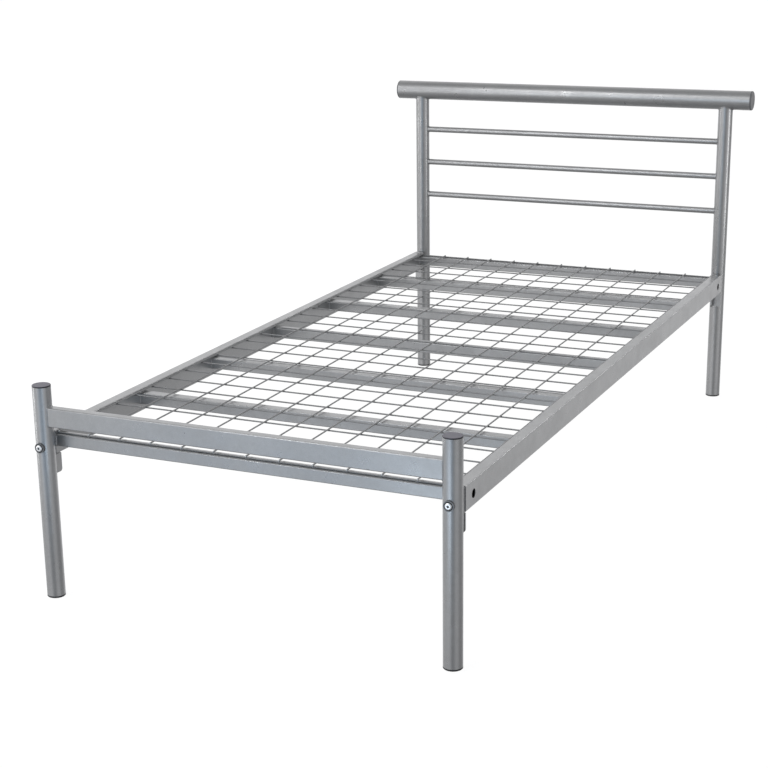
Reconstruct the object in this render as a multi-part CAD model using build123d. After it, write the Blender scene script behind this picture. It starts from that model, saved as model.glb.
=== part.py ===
"""Single metal bed frame: tubular ends, a bolted mesh base and its fixings.

Millimetres. X runs across the bed, Y from the foot end to the head end, Z up.
The origin is on the floor at the centre of the bed.
"""
from build123d import *
import os

os.makedirs("parts", exist_ok=True)

# --- overall layout ---------------------------------------------------------
POST_X = 442.0          # post axis, either side of the centre line
POST_Y = 972.0          # post axis, either side of mid-length
POST_R = 19.0           # 38 mm round tube
TUBE_WALL = 1.5
GLIDE_FLANGE = 4.0      # glide thickness below the end of a post
PLUG_GAP = 0.1          # clearance of caps and glides inside their tubes
PLUG_WALL = 3.0         # wall and floor of the hollow plugs
CAP_PLUG_DEPTH = 14.0   # how far a cap's plug reaches into its tube
GLIDE_PLUG_TOP = 22.0
GLIDE_PLUG_FLOOR = 8.0  # floor of the hollow in a glide's plug
GLIDE_CHAMFER = 1.0
COPE_TOP = 900.0        # top of the envelopes that cut a part to a post, above every rail

# --- head end ---------------------------------------------------------------
TOP_RAIL_R = 25.4       # 2 inch round tube
TOP_RAIL_Z = 823.5
TOP_RAIL_HALF = 513.5   # centre to the outside of an end cap
RAIL_CAP_T = 4.0
RAIL_CAP_RIM_R = 2.5
ROD_R = 8.0
ROD_WALL = 1.2
ROD_Z = {"upper": 711.5, "middle": 617.0, "lower": 522.5}

# --- foot end ---------------------------------------------------------------
FOOT_TOP_Z = 453.0      # top of the post caps
POST_CAP_T = 3.0
POST_CAP_RIM_R = 1.5
CAP_GROOVE = 0.8
FOOT_RAIL_H = 40.0
FOOT_RAIL_T = 20.0
FOOT_RAIL_CORNER_R = 2.5
FOOT_RAIL_Z = 388.0     # centre of the rectangular tube

# --- mattress base ----------------------------------------------------------
SIDE_OUT_X = 458.0      # outer faces of the side rails
SIDE_W = 25.0
SIDE_H = 50.0
SIDE_TOP_Z = 351.5
SIDE_HALF = 949.0       # centre to the end of a side rail
SIDE_CORNER_R = 2.5
BAR_W = 25.0            # square tube of the end rails and slats
BAR_CORNER_R = 2.0
BAR_TOP_Z = 343.0
END_FACE_Y = 947.0      # outer faces of the end rails
SLAT_PITCH = 313.0
SLAT_COUNT = 5
SLAT_SHIFT = -2.0       # front face of the middle slat

# --- mesh -------------------------------------------------------------------
WIRE_R = 1.6
LONG_PITCH = 71.7
LONG_WIRES = 13
LONG_HALF = 940.0       # centre to the end of a long wire, above an end rail
CROSS_PITCH = 72.2
CROSS_WIRES = 27

# --- fixings ----------------------------------------------------------------
PLATE_H = 90.0
PLATE_T = 4.0
FLANGE_REACH = 20.0     # from a plate's outer face to the edge of its flange
FLANGE_GAP = 1.0        # slot between a flange and the side rail above it
PLATE_INSET = 1.5       # plate edges stand this far inside the side-rail outline
PLATE_CORNER_R = 8.0    # outer lower corner of a plate
FLANGE_CORNER_R = 6.0   # free lower corner of a flange
BOLT_Z = 325.5
BOLT_R = 4.0            # M8
BOLT_HOLE_R = 4.4
BOLT_END = 4.0          # bolt past its nut
ACCESS_R = 9.0          # spanner hole in a side rail
ACCESS_Y = 911.0
HEAD_R = 7.0
HEAD_UNDERCUT = 0.8
HEAD_H = 4.5
HEAD_ROUND = 2.6
SOCKET_AF = 5.0
SOCKET_DEPTH = 3.5
WASHER_R = 10.5
WASHER_T = 1.5          # under the bolt head
CUP_R = 8.6             # recess the bolt head sits in
CUP_RIM = 2.0           # rim of the cup, outwards from the seat
CUP_SKIRT = 6.0         # blank of the cup washer, inwards from the seat
NUT_AF = 13.0
NUT_H = 6.5

NODES = {}


def keep(name, shape):
    """Register one finished node."""
    shape.label = name
    NODES[name] = shape


def group(solids):
    """Separate solids that share one node."""
    return Compound(children=list(solids))


def rod_x(radius, length, centre):
    """Solid cylinder along X."""
    return Pos(*centre) * Rot(0, 90, 0) * Cylinder(radius, length)


def rod_y(radius, length, centre):
    """Solid cylinder along Y."""
    return Pos(*centre) * Rot(90, 0, 0) * Cylinder(radius, length)


def upright(radius, low, high, x, y):
    """Solid cylinder along Z between two heights."""
    return Pos(x, y, (low + high) / 2) * Cylinder(radius, high - low)


def post_pair(end_y):
    """Solid envelopes of both posts at one end, used to cope the crossing tubes."""
    return upright(POST_R, 0, COPE_TOP, -POST_X, end_y) + upright(POST_R, 0, COPE_TOP, POST_X, end_y)


# --- posts, caps and glides -------------------------------------------------
def post(x, end_y, top):
    """Round tube leg, drilled through for its leg bolt."""
    tube = upright(POST_R, GLIDE_FLANGE, top, x, end_y)
    tube -= upright(POST_R - TUBE_WALL, GLIDE_FLANGE, top, x, end_y)
    return tube - rod_y(BOLT_HOLE_R, 3 * POST_R, (x, end_y, BOLT_Z))


def glide(x, end_y):
    """Floor glide: a flange under the tube and a plug inside it."""
    flange = upright(POST_R, 0, GLIDE_FLANGE, x, end_y)
    flange = chamfer(flange.edges().sort_by(Axis.Z)[0], GLIDE_CHAMFER)
    plug_r = POST_R - TUBE_WALL - PLUG_GAP
    plug = upright(plug_r, GLIDE_FLANGE, GLIDE_PLUG_TOP, x, end_y)
    plug -= upright(plug_r - PLUG_WALL, GLIDE_PLUG_FLOOR, GLIDE_PLUG_TOP, x, end_y)
    return flange + plug


def post_cap(x, end_y):
    """Push-in cap with a softened rim and a fine groove where it meets the post."""
    seat = FOOT_TOP_Z - POST_CAP_T
    head = upright(POST_R, seat, FOOT_TOP_Z, x, end_y)
    head = fillet(head.edges().sort_by(Axis.Z)[-1], POST_CAP_RIM_R)
    head = chamfer(head.edges().sort_by(Axis.Z)[0], CAP_GROOVE)
    plug_r = POST_R - TUBE_WALL - PLUG_GAP
    plug = upright(plug_r, seat - CAP_PLUG_DEPTH, seat, x, end_y)
    plug -= upright(plug_r - PLUG_WALL, seat - CAP_PLUG_DEPTH, seat - PLUG_WALL, x, end_y)
    return head + plug


def build_posts():
    rail_envelope = rod_x(TOP_RAIL_R, 2 * TOP_RAIL_HALF, (0, POST_Y, TOP_RAIL_Z))
    for side, x in (("left", -POST_X), ("right", POST_X)):
        keep(f"head_post_{side}", post(x, POST_Y, TOP_RAIL_Z) - rail_envelope)
        keep(f"foot_post_{side}", post(x, -POST_Y, FOOT_TOP_Z - POST_CAP_T))
        keep(f"foot_post_cap_{side}", post_cap(x, -POST_Y))
        keep(f"head_glide_{side}", glide(x, POST_Y))
        keep(f"foot_glide_{side}", glide(x, -POST_Y))


# --- headboard rails --------------------------------------------------------
def rail_cap(sign):
    """End cap of the top rail: a rounded disc with a plug inside the tube."""
    tube_end = TOP_RAIL_HALF - RAIL_CAP_T
    disc = rod_x(TOP_RAIL_R, RAIL_CAP_T, (tube_end + RAIL_CAP_T / 2, POST_Y, TOP_RAIL_Z))
    disc = fillet(disc.edges().filter_by(GeomType.CIRCLE).sort_by(Axis.X)[-1], RAIL_CAP_RIM_R)
    plug_r = TOP_RAIL_R - TUBE_WALL - PLUG_GAP
    plug_x = tube_end - CAP_PLUG_DEPTH / 2
    plug = rod_x(plug_r, CAP_PLUG_DEPTH, (plug_x, POST_Y, TOP_RAIL_Z))
    plug -= rod_x(plug_r - PLUG_WALL, CAP_PLUG_DEPTH, (plug_x - PLUG_WALL, POST_Y, TOP_RAIL_Z))
    cap = disc + plug
    return cap if sign > 0 else mirror(cap, Plane.YZ)


def build_headboard():
    length = 2 * (TOP_RAIL_HALF - RAIL_CAP_T)
    centre = (0, POST_Y, TOP_RAIL_Z)
    tube = rod_x(TOP_RAIL_R, length, centre) - rod_x(TOP_RAIL_R - TUBE_WALL, length, centre)
    keep("head_top_rail", tube)
    keep("head_rail_cap_left", rail_cap(-1))
    keep("head_rail_cap_right", rail_cap(1))
    posts = post_pair(POST_Y)
    for name, z in ROD_Z.items():
        centre = (0, POST_Y, z)
        rod = rod_x(ROD_R, 2 * POST_X, centre) - posts
        rod = rod - rod_x(ROD_R - ROD_WALL, 2 * POST_X, centre)
        keep(f"head_rod_{name}", rod)


# --- foot cross rail --------------------------------------------------------
def rect_tube(across, tall, length, wall, corner):
    """Rectangular tube along Z, centred on the origin."""
    outer = RectangleRounded(across, tall, corner)
    inner = RectangleRounded(across - 2 * wall, tall - 2 * wall, corner - wall)
    return extrude(outer - inner, length / 2, both=True)


def build_foot_rail():
    tube = rect_tube(FOOT_RAIL_H, FOOT_RAIL_T, 2 * POST_X, TUBE_WALL, FOOT_RAIL_CORNER_R)
    rail = Pos(0, -POST_Y, FOOT_RAIL_Z) * Rot(0, 90, 0) * tube
    keep("foot_cross_rail", rail - post_pair(-POST_Y))


# --- mattress base ----------------------------------------------------------
def side_rail(sign):
    """Rectangular tube along Y with a spanner hole near each end."""
    tube = rect_tube(SIDE_W, SIDE_H, 2 * SIDE_HALF, TUBE_WALL, SIDE_CORNER_R)
    x = SIDE_OUT_X - SIDE_W / 2
    rail = Pos(x, 0, SIDE_TOP_Z - SIDE_H / 2) * Rot(90, 0, 0) * tube
    for y in (-ACCESS_Y, ACCESS_Y):
        rail -= rod_x(ACCESS_R, 4 * TUBE_WALL, (SIDE_OUT_X, y, BOLT_Z))
    return rail if sign > 0 else mirror(rail, Plane.YZ)


def cross_bar(face_y, inward):
    """Square tube across the bed, its front face at face_y."""
    tube = rect_tube(BAR_W, BAR_W, 2 * (SIDE_OUT_X - SIDE_W), TUBE_WALL, BAR_CORNER_R)
    return Pos(0, face_y + inward * BAR_W / 2, BAR_TOP_Z - BAR_W / 2) * Rot(0, 90, 0) * tube


def build_base():
    keep("side_rail_left", side_rail(-1))
    keep("side_rail_right", side_rail(1))
    keep("end_rail_foot", cross_bar(-END_FACE_Y, 1))
    keep("end_rail_head", cross_bar(END_FACE_Y, -1))
    for i in range(SLAT_COUNT):
        face_y = SLAT_SHIFT + SLAT_PITCH * (i - SLAT_COUNT // 2)
        keep(f"cross_slat_{i + 1}", cross_bar(face_y, 1))


# --- mesh -------------------------------------------------------------------
def centred(pitch, count):
    """Evenly spaced positions about zero."""
    return [pitch * (i - count // 2) for i in range(count)]


def build_mesh():
    """Cross wires lie on the bars; long wires lie on the cross wires."""
    low = BAR_TOP_Z + WIRE_R
    across = 2 * (SIDE_OUT_X - SIDE_W)
    cross = [rod_x(WIRE_R, across, (0, y, low)) for y in centred(CROSS_PITCH, CROSS_WIRES)]
    along = [rod_y(WIRE_R, 2 * LONG_HALF, (x, 0, low + 2 * WIRE_R))
             for x in centred(LONG_PITCH, LONG_WIRES)]
    keep("mesh_cross_wires", group(cross))
    keep("mesh_long_wires", group(along))


# --- corner plates and fixings ----------------------------------------------
def corner_plate(x_sign, y_sign):
    """Plate closing a side-rail end, wider below the rail, where a flange turns back from it."""
    inner_x = SIDE_OUT_X - SIDE_W
    outer_y = SIDE_HALF + PLATE_T
    low = SIDE_TOP_Z - PLATE_H
    lower_h = PLATE_H - SIDE_H - FLANGE_GAP
    corner = Align.MIN, Align.MAX, Align.MIN
    neck_h = PLATE_H - PLATE_INSET - PLATE_CORNER_R
    neck = Box(SIDE_W - 2 * PLATE_INSET, PLATE_T, neck_h, align=corner)
    plate = Pos(inner_x + PLATE_INSET, outer_y, low + PLATE_CORNER_R) * neck
    lower = Box(SIDE_W, PLATE_T, lower_h, align=corner)
    foot_edges = lower.edges().filter_by(Axis.Y).group_by(Axis.Z)[0]
    lower = fillet(foot_edges.sort_by(Axis.X)[-1], PLATE_CORNER_R)
    flange = Box(PLATE_T, FLANGE_REACH, lower_h, align=corner)
    foot_edges = flange.edges().filter_by(Axis.X).group_by(Axis.Z)[0]
    flange = fillet(foot_edges.sort_by(Axis.Y)[0], FLANGE_CORNER_R)
    plate += Pos(inner_x, outer_y, low) * lower
    plate += Pos(inner_x, outer_y, low) * flange
    plate -= rod_y(BOLT_HOLE_R, 4 * PLATE_T, (POST_X, outer_y, BOLT_Z))
    if x_sign < 0:
        plate = mirror(plate, Plane.YZ)
    return plate if y_sign > 0 else mirror(plate, Plane.XZ)


def leg_bolt(x, y_sign):
    """M8 bolt from outside the post to just past its nut."""
    seat = POST_Y + POST_R + WASHER_T
    tip = SIDE_HALF - NUT_H - BOLT_END
    shank = rod_y(BOLT_R, seat - tip, (x, (seat + tip) / 2, BOLT_Z))
    head = rod_y(HEAD_R, HEAD_H, (x, seat + HEAD_H / 2, BOLT_Z))
    head = fillet(head.edges().filter_by(GeomType.CIRCLE).sort_by(Axis.Y)[-1], HEAD_ROUND)
    head = chamfer(head.edges().filter_by(GeomType.CIRCLE).sort_by(Axis.Y)[0], HEAD_UNDERCUT)
    hexagon = RegularPolygon(SOCKET_AF / 2, 6, major_radius=False)
    socket = Pos(x, seat + HEAD_H, BOLT_Z) * Rot(90, 0, 0) * extrude(hexagon, SOCKET_DEPTH)
    bolt = shank + head - socket
    return bolt if y_sign > 0 else mirror(bolt, Plane.XZ)


def cup_washer(x, y_sign):
    """Cup washer hollowed to sit on the post, with the bolt head recessed in its rim."""
    seat = POST_Y + POST_R + WASHER_T
    blank = CUP_SKIRT + CUP_RIM
    washer = rod_y(WASHER_R, blank, (x, seat + CUP_RIM - blank / 2, BOLT_Z))
    washer -= rod_y(CUP_R, CUP_RIM, (x, seat + CUP_RIM / 2, BOLT_Z))
    washer -= upright(POST_R, 0, COPE_TOP, x, POST_Y)
    washer -= rod_y(BOLT_HOLE_R, 4 * POST_R, (x, POST_Y, BOLT_Z))
    return washer if y_sign > 0 else mirror(washer, Plane.XZ)


def leg_nut(x, y_sign):
    """M8 nut inside the end of the side rail, two flats facing its walls."""
    hexagon = RegularPolygon(NUT_AF / 2, 6, major_radius=False, rotation=30)
    body = Pos(x, SIDE_HALF, BOLT_Z) * Rot(90, 0, 0) * extrude(hexagon, NUT_H)
    nut = body - rod_y(BOLT_R, 4 * NUT_H, (x, SIDE_HALF, BOLT_Z))
    return nut if y_sign > 0 else mirror(nut, Plane.XZ)


def build_fixings():
    corners = [(x, y) for x in (-1, 1) for y in (-1, 1)]
    names = {(-1, -1): "foot_left", (1, -1): "foot_right", (-1, 1): "head_left", (1, 1): "head_right"}
    for corner in corners:
        keep(f"corner_plate_{names[corner]}", corner_plate(*corner))
    keep("leg_bolts", group(leg_bolt(sx * POST_X, sy) for sx, sy in corners))
    keep("leg_washers", group(cup_washer(sx * POST_X, sy) for sx, sy in corners))
    keep("leg_nuts", group(leg_nut(sx * POST_X, sy) for sx, sy in corners))


build_posts()
build_headboard()
build_foot_rail()
build_base()
build_mesh()
build_fixings()

for name, shape in NODES.items():
    export_step(shape, f"parts/{name}.step")
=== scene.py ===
"""Single metal bed frame: finishes, weld beads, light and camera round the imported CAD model. Metres."""
import bpy
import bmesh
import math
import random
from mathutils import Matrix, Vector


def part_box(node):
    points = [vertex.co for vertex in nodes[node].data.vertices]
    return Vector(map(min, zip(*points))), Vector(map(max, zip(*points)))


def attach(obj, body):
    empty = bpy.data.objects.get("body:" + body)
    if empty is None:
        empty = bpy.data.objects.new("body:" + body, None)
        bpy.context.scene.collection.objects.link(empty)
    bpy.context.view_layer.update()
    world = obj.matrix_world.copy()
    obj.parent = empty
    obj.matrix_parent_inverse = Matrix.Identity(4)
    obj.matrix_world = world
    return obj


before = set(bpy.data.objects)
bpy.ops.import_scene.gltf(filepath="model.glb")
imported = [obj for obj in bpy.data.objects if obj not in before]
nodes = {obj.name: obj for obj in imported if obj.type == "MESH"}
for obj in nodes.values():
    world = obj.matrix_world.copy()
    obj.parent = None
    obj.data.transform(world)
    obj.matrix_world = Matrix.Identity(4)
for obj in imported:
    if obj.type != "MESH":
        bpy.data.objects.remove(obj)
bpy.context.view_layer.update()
random.seed(7)

MM = 0.001
SIDES = ("left", "right")
BARS = ["end_rail_foot", "end_rail_head"] + [f"cross_slat_{i}" for i in range(1, 6)]

# --- sizes of the welds and paint drops -------------------------------------
ROD_BEAD_R = 1.3 * MM
TOP_BEAD_R = 1.6 * MM
FOOT_RAIL_BEAD_R = 1.3 * MM
BASE_BEAD_R = 1.4 * MM
RIPPLE_LENGTH = 1.1 * MM        # from ripple to ripple along a bead
RIPPLE_DEPTH = 0.10             # share of the bead radius
RIPPLE_JITTER = 0.05
BEAD_END_START = 0.35           # share of the radius in the first ring of an open bead
BEAD_END_RINGS = 3              # rings over which it grows to the full radius
FOOT_RAIL_CORNER_R = 2.5 * MM
BAR_TURN = 2 * MM               # cut corner of the bead round a square bar
BAR_TOP_CLEAR = 3 * MM          # the bead stops this far below the top of the bar
PLATE_BEAD_OUTER_GAP = 3 * MM   # from the rail's outer face to the bead under it
PLATE_BEAD_INNER_GAP = 8 * MM   # from its inner face, past the plate's flange
CROSSING_HALF = (1.7, 2.2)      # mm, half width of the lump where two wires cross
CROSSING_HALF_H = 0.9 * MM
BAR_LUMP_HALF = (3, 4)          # mm, half width of the lump where a crossing lies on a bar
BAR_LUMP_REST = (1.9 * MM, 0.8 * MM)        # its half length along the bed, and half height
BUTT_LUMP = (1.0 * MM, 2.4 * MM, 2.4 * MM)  # half sizes where a cross wire butts a side rail
DROP_HALF = (1.9, 2.3)          # mm, radius of the paint drop on a wire end
DROP_HALF_LENGTH = 0.9 * MM

# --- camera -----------------------------------------------------------------
CAMERA_PLACE = (1.5424, -3.6822, 1.3834)
CAMERA_AZIMUTH = -25.96         # heading from +Y, degrees, positive towards +X
CAMERA_DOWN = 17.40             # degrees below level
CAMERA_ROLL = -1.16             # degrees
CAMERA_LENS = 80.74             # mm
CAMERA_SENSOR = 36              # mm
CAMERA_SHIFT = (0.0546, 0.0584)
CAMERA_CLIP = (0.05, 200)

# --- stage and world --------------------------------------------------------
FLOOR_HALF = 60
FLOOR_GLOW = 0.93               # the floor's own white
SURROUND_R = 55
WORLD_TINT = (0.99, 0.992, 1.0, 1)
WORLD_LEVEL = 0.72
# Two heights, as the vertical part of a direction from -1 to 1, and the share of the level at each.
BRIGHT_FOOT = (-0.32, -0.24, 0.0, 1.0)
GROUND = (-0.85, -0.30, 0.40, 1.0)
CEILING = (0.45, 0.90, 1.0, 0.55)
# Stretches of wall: heading, half-angle where it is full, half-angle where it ends, change of level.
BRIGHT_FRONT = (-27, 10, 27, 0.55)
DARK_FRONT = (20, 8, 30, -0.55)
DARK_REAR = (116, 16, 36, -0.45)
PALE_REAR = (-155, 20, 50, 0.42)


# --- node graph helpers -----------------------------------------------------
def add(tree, kind, inputs=None, **settings):
    """Adds a node, sets its properties, and fills its inputs with values or links."""
    node = tree.nodes.new("ShaderNode" + kind)
    for key, value in settings.items():
        setattr(node, key, value)
    for key, value in (inputs or {}).items():
        if isinstance(value, bpy.types.NodeSocket):
            tree.links.new(value, node.inputs[key])
        else:
            node.inputs[key].default_value = value
    return node


def math_node(tree, operation, a, b, clamp=False):
    return add(tree, "Math", {0: a, 1: b}, operation=operation, use_clamp=clamp).outputs[0]


def product(tree, value, *factors):
    for factor in factors:
        value = math_node(tree, "MULTIPLY", value, factor)
    return value


def noise_node(tree, at, scale, detail=2.0, roughness=0.5):
    inputs = {"Vector": at, "Scale": scale, "Detail": detail, "Roughness": roughness}
    return add(tree, "TexNoise", inputs).outputs["Fac"]


def remap(tree, value, low, high, to_low, to_high):
    inputs = {"Value": value, "From Min": low, "From Max": high, "To Min": to_low, "To Max": to_high}
    return add(tree, "MapRange", inputs).outputs["Result"]


def spread(tree, noise, to_low, to_high):
    """Noise, most of which lies from 0.3 to 0.7, spread over another range."""
    return remap(tree, noise, 0.3, 0.7, to_low, to_high)


def scale_color(tree, color, factor):
    """Colour multiplied by a grey factor."""
    return add(tree, "VectorMath", {0: color, 1: factor}, operation="MULTIPLY").outputs[0]


def edge_mask(tree, radius):
    """Near 1 along sharp edges, 0 on flat and evenly curved surfaces."""
    soft = add(tree, "Bevel", {"Radius": radius}, samples=4).outputs["Normal"]
    own = add(tree, "NewGeometry").outputs["Normal"]
    dot = add(tree, "VectorMath", {0: soft, 1: own}, operation="DOT_PRODUCT").outputs["Value"]
    return remap(tree, dot, 0.995, 0.80, 0.0, 1.0)


def bump(tree, height, distance, strength, under=None):
    inputs = {"Height": height, "Distance": distance, "Strength": strength}
    if under is not None:
        inputs["Normal"] = under
    return add(tree, "Bump", inputs).outputs["Normal"]


def new_material(name):
    material = bpy.data.materials.new(name)
    material.use_nodes = True
    material.node_tree.nodes.clear()
    return material, material.node_tree


def set_surface(tree, kind, inputs):
    """Adds the shader that a material shows."""
    shader = add(tree, kind, inputs)
    add(tree, "OutputMaterial", {"Surface": shader.outputs[0]})


# --- materials --------------------------------------------------------------
def powder_coat(name, color, metallic, roughness, edge_radius):
    """Silver powder coat: flake sparkle, orange peel, slow shade drift and thinner paint on edges."""
    material, tree = new_material(name)
    at = add(tree, "TexCoord").outputs["Object"]
    drift = spread(tree, noise_node(tree, at, 5.0, 3.0), 0.94, 1.06)
    mottle = spread(tree, noise_node(tree, at, 95.0, 4.0, 0.6), 0.96, 1.04)
    flake = add(tree, "TexVoronoi", {"Vector": at, "Scale": 2600.0}).outputs["Color"]
    flake_grey = add(tree, "SeparateColor", {0: flake}).outputs[0]
    sparkle = remap(tree, flake_grey, 0.0, 1.0, 0.88, 1.12)
    broken = remap(tree, noise_node(tree, at, 240.0, 3.0, 0.7), 0.42, 0.62, 0.0, 1.0)
    worn = math_node(tree, "MULTIPLY", edge_mask(tree, edge_radius), broken, clamp=True)
    lift = remap(tree, worn, 0.0, 1.0, 1.0, 1.18)
    base = scale_color(tree, color, product(tree, drift, mottle, sparkle, lift))
    rough_noise = spread(tree, noise_node(tree, at, 30.0, 3.0), roughness - 0.04, roughness + 0.05)
    rough = math_node(tree, "SUBTRACT", rough_noise, product(tree, worn, 0.1))
    peel = bump(tree, noise_node(tree, at, 520.0), 0.06 * MM, 0.55)
    grain = bump(tree, flake_grey, 0.01 * MM, 0.35, peel)
    inputs = {"Base Color": base, "Metallic": metallic, "Roughness": rough, "Normal": grain}
    set_surface(tree, "BsdfPrincipled", inputs)
    return material


def zinc_plate(name, color, roughness):
    """Zinc plate: fine bumps, faint cloudiness, rubbed edges, and painted shade that darkens the corners
    and sockets.
    """
    material, tree = new_material(name)
    at = add(tree, "TexCoord").outputs["Object"]
    cloud = spread(tree, noise_node(tree, at, 420.0, 4.0, 0.6), 0.86, 1.08)
    rubbed = remap(tree, edge_mask(tree, 0.5 * MM), 0.0, 1.0, 1.0, 1.12)
    # Painted shade: ambient occlusion darkens the zinc in sockets, corners and where a head meets its
    # washer.
    open_sky = add(tree, "AmbientOcclusion", {"Distance": 4 * MM}, samples=6).outputs["AO"]
    crevice_shade = remap(tree, open_sky, 0.35, 0.80, 0.10, 1.0)
    base = scale_color(tree, color, product(tree, cloud, rubbed, crevice_shade))
    rough = remap(tree, cloud, 0.86, 1.08, roughness + 0.08, roughness - 0.04)
    fine = bump(tree, noise_node(tree, at, 2200.0), 0.02 * MM, 0.4)
    inputs = {"Base Color": base, "Metallic": 0.75, "Roughness": rough, "Normal": fine}
    set_surface(tree, "BsdfPrincipled", inputs)
    return material


def moulded_plastic(name, color, roughness, grain_scale, side_shade_level=1.0):
    """Moulded plastic: spark-eroded grain, faint flow marks, paler rubbed rims, and painted shade that
    darkens the sides against the top.
    """
    material, tree = new_material(name)
    at = add(tree, "TexCoord").outputs["Object"]
    flow = spread(tree, noise_node(tree, at, 45.0, 3.0), 0.92, 1.08)
    rubbed = remap(tree, edge_mask(tree, 0.8 * MM), 0.0, 1.0, 1.0, 1.25)
    # Painted shade: faces that turn away from straight up are darkened, the sides most.
    facing = add(tree, "SeparateXYZ", {0: add(tree, "NewGeometry").outputs["Normal"]}).outputs["Z"]
    painted_side_shade = remap(tree, facing, 0.3, 0.9, side_shade_level, 1.0)
    base = scale_color(tree, color, product(tree, flow, rubbed, painted_side_shade))
    fine = noise_node(tree, at, grain_scale, 3.0, 0.7)
    rough = spread(tree, fine, roughness - 0.06, roughness + 0.08)
    grain = bump(tree, fine, 0.05 * MM, 0.5)
    set_surface(tree, "BsdfPrincipled", {"Base Color": base, "Roughness": rough, "Normal": grain})
    return material


PAINT = powder_coat("silver_powder_coat", (0.40, 0.402, 0.407), 0.72, 0.31, 1.0 * MM)
# The wires carry the frame's silver coat made darker: painted shade for the thin wires.
SHADED_WIRE_PAINT = powder_coat("silver_wire_coat_shaded", (0.275, 0.277, 0.281), 0.55, 0.40, 0.4 * MM)
WELD_PAINT = powder_coat("silver_weld_coat", (0.38, 0.382, 0.387), 0.68, 0.36, 0.4 * MM)
# A paler copy of the silver coat: painted highlight on the wire-end drops.
HIGHLIGHT_DROP_PAINT = powder_coat("silver_drop_coat_highlight", (0.62, 0.625, 0.63), 0.60, 0.33, 0.4 * MM)
ZINC = zinc_plate("bright_zinc", (0.90, 0.905, 0.92), 0.30)
DULL_ZINC = zinc_plate("dull_zinc", (0.20, 0.203, 0.212), 0.45)
# The post caps get a strong painted shade on their sides.
CAP_PLASTIC = moulded_plastic("grey_cap_plastic", (0.17, 0.163, 0.195), 0.5, 1500.0, side_shade_level=0.12)
RAIL_CAP_PLASTIC = moulded_plastic("silver_cap_plastic", (0.15, 0.15, 0.158), 0.45, 1500.0)
GLIDE_PLASTIC = moulded_plastic("dark_glide_plastic", (0.025, 0.025, 0.028), 0.5, 1200.0)


def material_for(node):
    if node.startswith("mesh_"):
        return SHADED_WIRE_PAINT
    if node.startswith(("leg_nuts", "leg_washers")):
        return DULL_ZINC
    if node.startswith("leg_bolts"):
        return ZINC
    if "post_cap" in node:
        return CAP_PLASTIC
    if "rail_cap" in node:
        return RAIL_CAP_PLASTIC
    if "glide" in node:
        return GLIDE_PLASTIC
    return PAINT


for name, node in nodes.items():
    node.data.materials.clear()
    node.data.materials.append(material_for(name))


# --- pieces -----------------------------------------------------------------
def new_object(name, data):
    """Object linked into the scene."""
    obj = bpy.data.objects.new(name, data)
    bpy.context.scene.collection.objects.link(obj)
    return obj


def mesh_of(name, bm):
    """Turns a bmesh into a mesh."""
    mesh = bpy.data.meshes.new(name)
    bm.to_mesh(mesh)
    bm.free()
    return mesh


def add_piece(name, mesh, material):
    """Adds a smooth-shaded mesh that rides on the frame."""
    mesh.polygons.foreach_set("use_smooth", [True] * len(mesh.polygons))
    mesh.materials.append(material)
    piece = new_object(name, mesh)
    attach(piece, "root")


def bead_piece(name, bm):
    """One piece made of all the beads in a bmesh."""
    bmesh.ops.recalc_face_normals(bm, faces=bm.faces)
    add_piece(name, mesh_of(name, bm), WELD_PAINT)


def unit_ball(segments=10, rows=5):
    """Vertices and faces of a closed ball of radius 1."""
    verts = [(0.0, 0.0, 1.0)]
    for r in range(1, rows):
        tilt = math.pi * r / rows
        for k in range(segments):
            t = 2 * math.pi * k / segments
            verts.append((math.sin(tilt) * math.cos(t), math.sin(tilt) * math.sin(t), math.cos(tilt)))
    verts.append((0.0, 0.0, -1.0))
    last = len(verts) - 1
    faces = []
    for k in range(segments):
        nxt = (k + 1) % segments
        faces.append((0, 1 + k, 1 + nxt))
        for r in range(rows - 2):
            a, b = 1 + r * segments, 1 + (r + 1) * segments
            faces.append((a + k, b + k, b + nxt, a + nxt))
        base = 1 + (rows - 2) * segments
        faces.append((base + nxt, base + k, last))
    return verts, faces


def lump_piece(name, lumps, material):
    """One piece made of a stretched ball at each given centre and size."""
    ball, ball_faces = unit_ball()
    verts, faces = [], []
    for centre, size in lumps:
        start = len(verts)
        verts += [tuple(c + s * v for c, s, v in zip(centre, size, point)) for point in ball]
        faces += [tuple(start + index for index in face) for face in ball_faces]
    mesh = bpy.data.meshes.new(name)
    mesh.from_pydata(verts, [], faces)
    add_piece(name, mesh, material)


def sweep_bead(bm, points, radius, closed, sides=8):
    """Sweeps a rippled round bead along points, tapering to its ends if it is open."""
    count = len(points)
    rings = []
    travelled = 0.0
    up = None
    for i, here in enumerate(points):
        before = points[i - 1] if closed or i else here
        after = points[(i + 1) % count] if closed or i < count - 1 else here
        travelled += (here - before).length if i else 0.0
        tangent = (after - before).normalized()
        if up is None:
            up = tangent.orthogonal().normalized()
        up = (up - tangent * up.dot(tangent)).normalized()
        side = tangent.cross(up)
        ripple = RIPPLE_DEPTH * math.cos(2 * math.pi * travelled / RIPPLE_LENGTH)
        wave = 1 + ripple + random.uniform(-RIPPLE_JITTER, RIPPLE_JITTER)
        grown = min(i, count - 1 - i) / BEAD_END_RINGS
        end = 1.0 if closed else min(1.0, BEAD_END_START + (1 - BEAD_END_START) * grown)
        r = radius * wave * end
        turns = [2 * math.pi * k / sides for k in range(sides)]
        rings.append([bm.verts.new(here + (up * math.cos(t) + side * math.sin(t)) * r) for t in turns])
    pairs = list(zip(rings, rings[1:]))
    if closed:
        pairs.append((rings[-1], best_turn(rings[-1], rings[0])))
    for a, b in pairs:
        for k in range(sides):
            bm.faces.new((a[k], a[(k + 1) % sides], b[(k + 1) % sides], b[k]))
    if not closed:
        bm.faces.new(rings[0])
        bm.faces.new(rings[-1])


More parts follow.
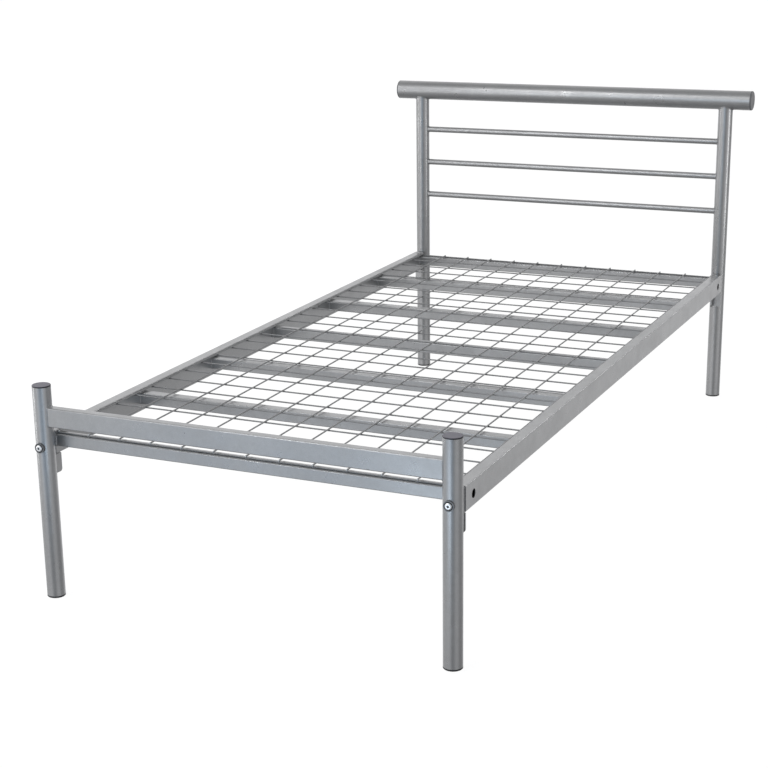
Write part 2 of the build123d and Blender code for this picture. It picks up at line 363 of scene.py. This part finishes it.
def best_turn(ring, target):
    """The target ring's vertices, started where they line up best with ring."""
    def cost(shift):
        return sum((v.co - target[(k + shift) % len(target)].co).length for k, v in enumerate(ring))
    shift = min(range(len(target)), key=cost)
    return [target[(k + shift) % len(target)] for k in range(len(target))]


# --- outlines of the joints -------------------------------------------------
def circle_of(node):
    """Centre and radius in plan of an upright round node."""
    low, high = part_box(node)
    return (low + high) / 2, (high.x - low.x) / 2


def on_post(post, dy, z):
    """Point on the inner side of a post, dy from its axis along the bed."""
    centre, post_r = circle_of(post)
    inward = -math.copysign(1, centre.x)
    return Vector((centre.x + inward * math.sqrt(post_r ** 2 - dy ** 2), centre.y + dy, z))


def rod_joint(post, rod, steps=36):
    """Points round a level rod where it meets a post."""
    low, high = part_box(rod)
    rod_r = (high.z - low.z) / 2
    mid_z = (low.z + high.z) / 2
    turns = [2 * math.pi * k / steps for k in range(steps)]
    return [on_post(post, rod_r * math.cos(t), mid_z + rod_r * math.sin(t)) for t in turns]


def post_top_joint(post, rail, steps=60):
    """Points round a post where it meets the rail on top of it."""
    centre, post_r = circle_of(post)
    low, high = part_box(rail)
    rail_r = (high.z - low.z) / 2
    points = []
    for k in range(steps):
        t = 2 * math.pi * k / steps
        dy = post_r * math.sin(t)
        z = (low.z + high.z) / 2 - math.sqrt(rail_r ** 2 - dy ** 2)
        points.append(Vector((centre.x + post_r * math.cos(t), centre.y + dy, z)))
    return points


def rounded_rectangle(half_a, half_b, radius, step=1.2 * MM):
    """Points in 2-D round a rounded rectangle, evenly spaced along each side."""
    arcs = []
    for sa, sb, start in ((1, 1, 0), (-1, 1, 90), (-1, -1, 180), (1, -1, 270)):
        ca, cb = sa * (half_a - radius), sb * (half_b - radius)
        turns = [math.radians(start + turn) for turn in (0, 30, 60, 90)]
        arcs.append([Vector((ca + radius * math.cos(t), cb + radius * math.sin(t))) for t in turns])
    points = []
    for arc, following in zip(arcs, arcs[1:] + arcs[:1]):
        run = following[0] - arc[-1]
        count = int(run.length / step)
        points += arc + [arc[-1] + run * (k / count) for k in range(1, count)]
    return points


def rail_joint(post, rail):
    """Points round a rectangular rail where it meets a post."""
    low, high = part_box(rail)
    mid_z = (low.z + high.z) / 2
    outline = rounded_rectangle((high.y - low.y) / 2, (high.z - low.z) / 2, FOOT_RAIL_CORNER_R)
    return [on_post(post, p.x, mid_z + p.y) for p in outline]


def straight(a, b, step=0.6 * MM):
    """Evenly spaced points from a to b."""
    count = max(4, int((b - a).length / step))
    return [a.lerp(b, k / count) for k in range(count + 1)]


def bar_joint(bar, x):
    """Points down, under and up a square bar where it meets a side rail at x; its top is left clear."""
    low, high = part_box(bar)
    top = high.z - BAR_TOP_CLEAR
    outline = [
        (low.y, top), (low.y, low.z + BAR_TURN), (low.y + BAR_TURN, low.z),
        (high.y - BAR_TURN, low.z), (high.y, low.z + BAR_TURN), (high.y, top)]
    corners = [Vector((x, y, z)) for y, z in outline]
    points = [corners[0]]
    for a, b in zip(corners, corners[1:]):
        points += straight(a, b)[1:]
    return points


def wire_centres(node, axis, apart=10 * MM):
    """Centre coordinate along one axis of each separate wire in a node."""
    values = sorted(v.co[axis] for v in nodes[node].data.vertices)
    groups = [[values[0]]]
    for value in values[1:]:
        if value - groups[-1][-1] > apart:
            groups.append([])
        groups[-1].append(value)
    return [(g[0] + g[-1]) / 2 for g in groups]


# --- welds and paint drops --------------------------------------------------
def weld_ends():
    """Beads that join the rods, rails and posts of the two ends."""
    bm = bmesh.new()
    for side in SIDES:
        post = f"head_post_{side}"
        for rod in ("head_rod_upper", "head_rod_middle", "head_rod_lower"):
            sweep_bead(bm, rod_joint(post, rod), ROD_BEAD_R, closed=True)
        sweep_bead(bm, post_top_joint(post, "head_top_rail"), TOP_BEAD_R, closed=True)
        foot_joint = rail_joint(f"foot_post_{side}", "foot_cross_rail")
        sweep_bead(bm, foot_joint, FOOT_RAIL_BEAD_R, closed=True)
    bead_piece("end_frame_welds", bm)


def weld_base():
    """Beads of the square bars, and of the corner plates under the side rails."""
    bm = bmesh.new()
    for bar in BARS:
        low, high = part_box(bar)
        for x in (low.x, high.x):
            sweep_bead(bm, bar_joint(bar, x), BASE_BEAD_R, closed=False)
    gaps = (PLATE_BEAD_OUTER_GAP, PLATE_BEAD_INNER_GAP)
    for side, (low_gap, high_gap) in zip(SIDES, (gaps, gaps[::-1])):
        low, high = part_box(f"side_rail_{side}")
        for y in (low.y, high.y):
            lower = straight(Vector((low.x + low_gap, y, low.z)), Vector((high.x - high_gap, y, low.z)))
            sweep_bead(bm, lower, BASE_BEAD_R, closed=False)
    bead_piece("base_welds", bm)


def weld_mesh():
    """Resistance welds where the wires cross, pass over the bars and butt the side rails."""
    long_x = wire_centres("mesh_long_wires", 0)
    cross_y = wire_centres("mesh_cross_wires", 1)
    low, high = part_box("mesh_cross_wires")
    lumps = []
    for x in long_x:
        for y in cross_y:
            half = random.uniform(*CROSSING_HALF) * MM
            lumps.append(((x, y, high.z), (half, half, CROSSING_HALF_H)))
    for bar in BARS:
        bar_low, bar_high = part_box(bar)
        for y in cross_y:
            if bar_low.y < y < bar_high.y:
                for x in long_x:
                    half = random.uniform(*BAR_LUMP_HALF) * MM
                    lumps.append(((x, y, bar_high.z), (half, *BAR_LUMP_REST)))
    for y in cross_y:
        for x in (low.x, high.x):
            lumps.append(((x, y, (low.z + high.z) / 2), BUTT_LUMP))
    lump_piece("mesh_welds", lumps, SHADED_WIRE_PAINT)


def tip_wires():
    """Paint drops gathered on the cut ends of the long wires, in a paler coat that paints a highlight on
    them.
    """
    low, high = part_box("mesh_long_wires")
    drops = []
    for x in wire_centres("mesh_long_wires", 0):
        for y in (low.y, high.y):
            half = random.uniform(*DROP_HALF) * MM
            drops.append(((x, y, (low.z + high.z) / 2), (half, DROP_HALF_LENGTH, half)))
    lump_piece("wire_end_drops", drops, HIGHLIGHT_DROP_PAINT)


weld_ends()
weld_base()
weld_mesh()
tip_wires()


# --- stage, light and camera ------------------------------------------------
def stage_object(name, bm, material):
    """A stage mesh that only the camera sees, so it doesn't wash out the metal."""
    mesh = mesh_of(name, bm)
    mesh.materials.append(material)
    obj = new_object(name, mesh)
    obj.visible_diffuse = False
    obj.visible_glossy = False
    return obj


def floor():
    """Pale floor: mostly its own even white, with a little diffuse to hold faint shadows."""
    material, tree = new_material("pale_floor")
    at = add(tree, "TexCoord").outputs["Object"]
    tone = spread(tree, noise_node(tree, at, 3.0, 3.0), 0.11, 0.13)
    inputs = {
        "Base Color": scale_color(tree, (1.0, 1.0, 1.0), tone), "Roughness": 0.9,
        "Specular IOR Level": 0.1, "Emission Color": (1, 1, 1, 1), "Emission Strength": FLOOR_GLOW}
    set_surface(tree, "BsdfPrincipled", inputs)
    bm = bmesh.new()
    bmesh.ops.create_grid(bm, x_segments=2, y_segments=2, size=FLOOR_HALF)
    stage_object("floor", bm, material)


def backdrop():
    """Even white surround above the floor."""
    material, tree = new_material("white_surround")
    set_surface(tree, "Emission", {"Color": (1, 1, 1, 1), "Strength": 1.0})
    bm = bmesh.new()
    bmesh.ops.create_uvsphere(bm, u_segments=48, v_segments=24, radius=SURROUND_R)
    stage_object("backdrop", bm, material).visible_shadow = False


def wall_band(tree, heading, angle, inner, outer, change):
    """Change of level round a heading in degrees, which runs from the foot end towards +X."""
    turn = math.radians(angle)
    aim = (math.sin(turn), -math.cos(turn), 0.0)
    dot = add(tree, "VectorMath", {0: heading, 1: aim}, operation="DOT_PRODUCT").outputs["Value"]
    amount = remap(tree, dot, math.cos(math.radians(outer)), math.cos(math.radians(inner)), 0.0, 1.0)
    return product(tree, amount, change)


def world_light():
    """Even studio walls with two bright stretches and two dark ones, and a dimmer ceiling and ground."""
    world = bpy.data.worlds.new("studio")
    bpy.context.scene.world = world
    world.use_nodes = True
    tree = world.node_tree
    tree.nodes.clear()
    at = add(tree, "TexCoord").outputs["Generated"]
    toward = add(tree, "SeparateXYZ", {0: at}).outputs
    height = toward["Z"]
    flat = add(tree, "CombineXYZ", {"X": toward["X"], "Y": toward["Y"]}).outputs[0]
    heading = add(tree, "VectorMath", {0: flat}, operation="NORMALIZE").outputs["Vector"]
    bright = product(tree, wall_band(tree, heading, *BRIGHT_FRONT), remap(tree, height, *BRIGHT_FOOT))
    wall = math_node(tree, "ADD", bright, 1.0)
    for band in (DARK_FRONT, DARK_REAR, PALE_REAR):
        wall = math_node(tree, "ADD", wall, wall_band(tree, heading, *band))
    below = remap(tree, height, *GROUND)
    above = remap(tree, height, *CEILING)
    level = product(tree, below, above, wall, WORLD_LEVEL)
    background = add(tree, "Background", {"Color": WORLD_TINT, "Strength": level})
    add(tree, "OutputWorld", {"Surface": background.outputs[0]})


def softbox(name, place, aim, size, power, color=(1, 1, 1)):
    """Rectangular area light at place, turned towards aim."""
    data = bpy.data.lights.new(name, "AREA")
    data.shape = "RECTANGLE"
    data.size, data.size_y = size
    data.energy = power
    data.color = color
    obj = new_object(name, data)
    obj.location = place
    obj.rotation_mode = "QUATERNION"
    obj.rotation_quaternion = (Vector(aim) - Vector(place)).to_track_quat("-Z", "Y")
    obj.visible_camera = False


def photo_camera():
    """Camera beyond the foot end and to the right, looking down at the frame."""
    az, down, roll = (math.radians(a) for a in (CAMERA_AZIMUTH, CAMERA_DOWN, CAMERA_ROLL))
    ahead = Vector((math.sin(az) * math.cos(down), math.cos(az) * math.cos(down), -math.sin(down)))
    level = Vector((math.cos(az), -math.sin(az), 0))
    above = level.cross(ahead)
    right = level * math.cos(roll) + above * math.sin(roll)
    up = above * math.cos(roll) - level * math.sin(roll)
    data = bpy.data.cameras.new("camera")
    data.lens = CAMERA_LENS
    data.sensor_width = CAMERA_SENSOR
    data.shift_x, data.shift_y = CAMERA_SHIFT
    data.clip_start, data.clip_end = CAMERA_CLIP
    obj = new_object("camera", data)
    turn = Matrix((right, up, -ahead)).transposed().to_4x4()
    obj.matrix_world = Matrix.Translation(CAMERA_PLACE) @ turn
    bpy.context.scene.camera = obj


floor()
backdrop()
world_light()
softbox("overhead", (-1.2, -2.2, 3.4), (0, -0.6, 0.3), (1.0, 1.0), 12)
softbox("key_left", (-3.8, -0.8, 1.6), (0, 0, 0.4), (0.4, 3.0), 30)
softbox("front_strip", (-1.6, -4.0, 1.9), (0, -0.6, 0.5), (0.26, 3.2), 16, (0.95, 0.98, 1.0))
softbox("right_strip", (2.8, 0.75, 0.62), (0.4, 0.97, 0.6), (0.75, 1.2), 9)
softbox("front_cool", (0.4, -3.9, 0.9), (0, -0.97, 0.35), (2.2, 1.4), 9, (0.30, 0.66, 1.0))
softbox("low_left", (-1.35, -1.12, 0.26), (-0.44, -0.97, 0.26), (0.16, 0.48), 0.8)
softbox("floor_bounce", (0.25, -1.78, 0.02), (0.25, -1.78, 1.0), (0.5, 0.5), 1.05, (0.74, 0.88, 1.0))
softbox("floor_cool", (-0.05, -2.05, 0.015), (-0.05, -2.05, 1.0), (1.7, 0.9), 1.3, (0.12, 0.52, 1.0))
softbox("rear_rim", (2.3, 4.6, 2.2), (0.4, 0, 0.35), (0.5, 0.5), 9)
photo_camera()
bpy.context.scene.view_settings.view_transform = "Standard"
